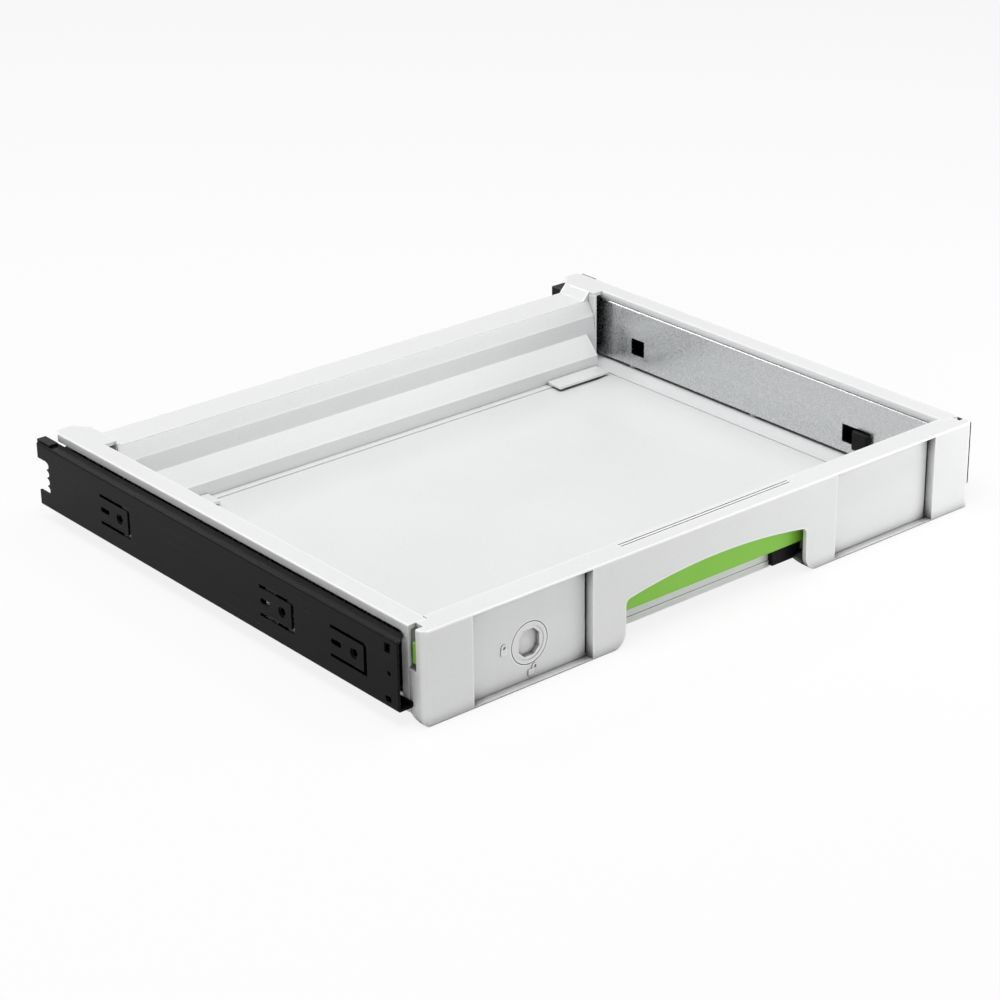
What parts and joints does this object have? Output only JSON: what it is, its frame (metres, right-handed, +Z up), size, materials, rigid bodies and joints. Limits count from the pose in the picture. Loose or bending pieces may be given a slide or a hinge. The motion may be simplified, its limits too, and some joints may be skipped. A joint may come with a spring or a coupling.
{
  "type": "drawer unit",
  "caption": "Low tool-cabinet drawer: moulded tray with a handled, lockable front and lifting release bar, hung between full-extension ball-bearing slides.",
  "frame": {"origin": "centre of the footprint, at the level of the lowest edge", "axes": "+X to the right seen from the front, +Y from the front face to the back, +Z up"},
  "size_m": [0.441, 0.361, 0.0557],
  "materials": {
    "black_steel": "black electro-coated sheet steel, semi-gloss",
    "bare_steel": "bright zinc-plated spring steel",
    "ball_steel": "polished hardened balls",
    "galvanised": "hot-dip galvanised sheet with a fine spangle",
    "rivet_steel": "black rivets",
    "light_plastic": "light grey moulded plastic, fine grain",
    "black_plastic": "black moulded plastic",
    "green_plastic": "bright green moulded plastic",
    "spring_steel": "spring wire",
    "screw_steel": "zinc-plated screws"
  },
  "bodies": {
    "cabinet_rails": {"left_cabinet_rail": "black_steel", "right_cabinet_rail": "black_steel", "rail_rear_stops": "black_plastic"},
    "drawer": {"tray": "light_plastic", "front_panel": "light_plastic", "left_drawer_rail": "galvanised", "right_drawer_rail": "galvanised", "case_catches": "black_plastic", "rear_blocks": "black_plastic", "bar_guides": "black_plastic", "return_springs": "spring_steel", "tray_screws": "screw_steel", "panel_screws": "screw_steel", "block_screws": "screw_steel"},
    "release_bar": {"release_bar": "green_plastic"},
    "lock": {"lock_dial": "light_plastic", "lock_cam": "black_plastic", "lock_screw": "screw_steel"},
    "left_middle_rail": {"left_middle_rail": "black_steel", "left_middle_rivets": "rivet_steel"},
    "left_outer_cage": {"left_outer_cage": "bare_steel", "left_outer_balls": "ball_steel"},
    "left_inner_cage": {"left_inner_cage": "bare_steel", "left_inner_balls": "ball_steel"},
    "right_middle_rail": {"right_middle_rail": "black_steel", "right_middle_rivets": "rivet_steel"},
    "right_outer_cage": {"right_outer_cage": "bare_steel", "right_outer_balls": "ball_steel"},
    "right_inner_cage": {"right_inner_cage": "bare_steel", "right_inner_balls": "ball_steel"}
  },
  "joints": [
    {"name": "drawer_slide", "type": "slide", "parent": "cabinet_rails", "child": "drawer", "axis": [0, -1, 0], "range_m": [0, 0.33]},
    {"name": "left_middle_rail_slide", "type": "slide", "parent": "cabinet_rails", "child": "left_middle_rail", "axis": [0, -1, 0], "range_m": [0, 0.165]},
    {"name": "left_outer_cage_slide", "type": "slide", "parent": "cabinet_rails", "child": "left_outer_cage", "axis": [0, -1, 0], "range_m": [0, 0.0825]},
    {"name": "left_inner_cage_slide", "type": "slide", "parent": "cabinet_rails", "child": "left_inner_cage", "axis": [0, -1, 0], "range_m": [0, 0.2475]},
    {"name": "right_middle_rail_slide", "type": "slide", "parent": "cabinet_rails", "child": "right_middle_rail", "axis": [0, -1, 0], "range_m": [0, 0.165]},
    {"name": "right_outer_cage_slide", "type": "slide", "parent": "cabinet_rails", "child": "right_outer_cage", "axis": [0, -1, 0], "range_m": [0, 0.0825]},
    {"name": "right_inner_cage_slide", "type": "slide", "parent": "cabinet_rails", "child": "right_inner_cage", "axis": [0, -1, 0], "range_m": [0, 0.2475]},
    {"name": "release_bar_lift", "type": "slide", "parent": "drawer", "child": "release_bar", "axis": [0, 0, 1], "range_m": [0, 0.006], "stiffness_N_per_m": 1200, "springref_m": -0.003, "deforming": ["return_springs"]},
    {"name": "lock_turn", "type": "hinge", "parent": "drawer", "child": "lock", "pos_m": [-0.135, -0.1753, 0.0227], "axis": [0, 1, 0], "range_deg": [0, 90]}
  ],
  "couplings": [
    {"joint": "left_middle_rail_slide", "follows": "drawer_slide", "ratio": 0.5},
    {"joint": "left_outer_cage_slide", "follows": "drawer_slide", "ratio": 0.25},
    {"joint": "left_inner_cage_slide", "follows": "drawer_slide", "ratio": 0.75},
    {"joint": "right_middle_rail_slide", "follows": "drawer_slide", "ratio": 0.5},
    {"joint": "right_outer_cage_slide", "follows": "drawer_slide", "ratio": 0.25},
    {"joint": "right_inner_cage_slide", "follows": "drawer_slide", "ratio": 0.75}
  ]
}
